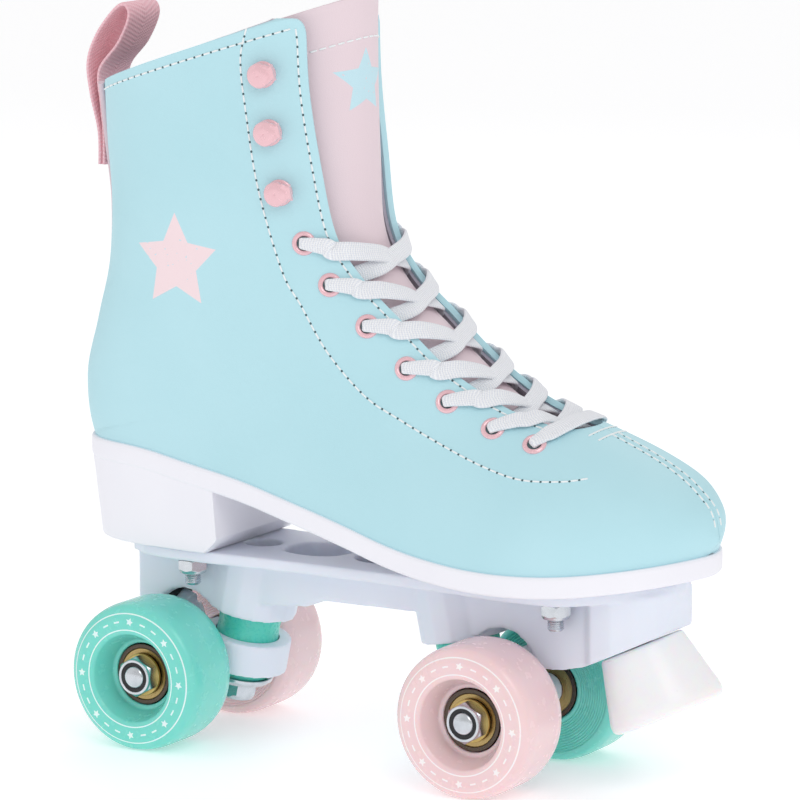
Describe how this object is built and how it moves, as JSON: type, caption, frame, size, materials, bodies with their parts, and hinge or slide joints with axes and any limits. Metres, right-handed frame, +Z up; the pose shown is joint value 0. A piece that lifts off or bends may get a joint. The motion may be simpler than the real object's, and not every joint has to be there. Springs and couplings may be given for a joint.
{
  "type": "quad roller skate",
  "caption": "High-top laced roller skate, right foot, on a nylon plate with two cushioned steering trucks, free-rolling wheels and a toe stop.",
  "frame": {"origin": "under the middle of the skate's bounding box, on the floor it stands on", "axes": "+X towards the toe, +Y towards the inner side of the foot, +Z up"},
  "size_m": [0.2528, 0.091, 0.2708],
  "materials": {
    "leather": "matte grained synthetic leather, pale aqua",
    "lining": "soft napped textile, grey-lilac",
    "tongue": "matte grained synthetic leather, pale pink",
    "piping": "smooth rolled edge, pale pink",
    "webbing": "ribbed woven webbing, pink",
    "lace": "flat woven cotton or polyester, white",
    "lacquer": "glossy lacquer, pale pink",
    "sole": "satin moulded sole, white",
    "nylon": "satin moulded nylon, cool white",
    "steel": "zinc plated, bright",
    "cushion": "translucent urethane, teal",
    "cup": "black rubber",
    "teal_wheel": "glossy cast urethane, teal",
    "pink_wheel": "glossy cast urethane, pale pink",
    "bearing": "bronze-coloured steel shields",
    "stop": "milky translucent urethane"
  },
  "bodies": {
    "boot_and_plate": {"outer_quarter": "leather", "inner_quarter": "leather", "backstay": "leather", "lining": "lining", "footbed": "lining", "tongue": "tongue", "outer_piping": "piping", "inner_piping": "piping", "pull_loop": "webbing", "lace": "lace", "outer_hook_1": "lacquer", "outer_hook_2": "lacquer", "outer_hook_3": "lacquer", "inner_hook_1": "lacquer", "inner_hook_2": "lacquer", "inner_hook_3": "lacquer", "sole_unit": "sole", "plate": "nylon", "rear_kingpin": "steel", "rear_cup_washer": "steel", "rear_kingpin_nut": "steel", "rear_upper_cushion": "cushion", "rear_lower_cushion": "cushion", "rear_pivot_cup": "cup", "front_kingpin": "steel", "front_cup_washer": "steel", "front_kingpin_nut": "steel", "front_upper_cushion": "cushion", "front_lower_cushion": "cushion", "front_pivot_cup": "cup", "rear_outer_bolt": "steel", "rear_outer_nut": "steel", "rear_inner_bolt": "steel", "rear_inner_nut": "steel", "front_outer_bolt": "steel", "front_outer_nut": "steel", "front_inner_bolt": "steel", "front_inner_nut": "steel", "toe_stop": "stop", "toe_stop_bolt": "steel"},
    "rear_truck": {"rear_hanger": "nylon", "rear_axle": "steel", "rear_outer_axle_nut": "steel", "rear_inner_axle_nut": "steel"},
    "rear_outer_wheel_set": {"rear_outer_wheel": "teal_wheel", "rear_outer_outer_bearing": "bearing", "rear_outer_inner_bearing": "bearing"},
    "rear_inner_wheel_set": {"rear_inner_wheel": "pink_wheel", "rear_inner_outer_bearing": "bearing", "rear_inner_inner_bearing": "bearing"},
    "front_truck": {"front_hanger": "nylon", "front_axle": "steel", "front_outer_axle_nut": "steel", "front_inner_axle_nut": "steel"},
    "front_outer_wheel_set": {"front_outer_wheel": "pink_wheel", "front_outer_outer_bearing": "bearing", "front_outer_inner_bearing": "bearing"},
    "front_inner_wheel_set": {"front_inner_wheel": "teal_wheel", "front_inner_outer_bearing": "bearing", "front_inner_inner_bearing": "bearing"}
  },
  "joints": [
    {"name": "rear_steer", "type": "hinge", "parent": "boot_and_plate", "child": "rear_truck", "pos_m": [-0.0644, 0, 0.03173], "axis": [-0.8758, 0, 0.4827], "range_deg": [-8, 8], "stiffness_Nm_per_rad": 20, "deforming": ["rear_upper_cushion", "rear_lower_cushion"]},
    {"name": "rear_outer_wheel_spin", "type": "hinge", "parent": "rear_truck", "child": "rear_outer_wheel_set", "pos_m": [-0.08415, -0.03175, 0.02672], "axis": [0, 1, 0], "continuous": true},
    {"name": "rear_inner_wheel_spin", "type": "hinge", "parent": "rear_truck", "child": "rear_inner_wheel_set", "pos_m": [-0.08415, 0.03175, 0.02672], "axis": [0, 1, 0], "continuous": true},
    {"name": "front_steer", "type": "hinge", "parent": "boot_and_plate", "child": "front_truck", "pos_m": [0.0316, 0, 0.03173], "axis": [0.8758, 0, 0.4827], "range_deg": [-8, 8], "stiffness_Nm_per_rad": 20, "deforming": ["front_upper_cushion", "front_lower_cushion"]},
    {"name": "front_outer_wheel_spin", "type": "hinge", "parent": "front_truck", "child": "front_outer_wheel_set", "pos_m": [0.05135, -0.03175, 0.02672], "axis": [0, 1, 0], "continuous": true},
    {"name": "front_inner_wheel_spin", "type": "hinge", "parent": "front_truck", "child": "front_inner_wheel_set", "pos_m": [0.05135, 0.03175, 0.02672], "axis": [0, 1, 0], "continuous": true}
  ]
}
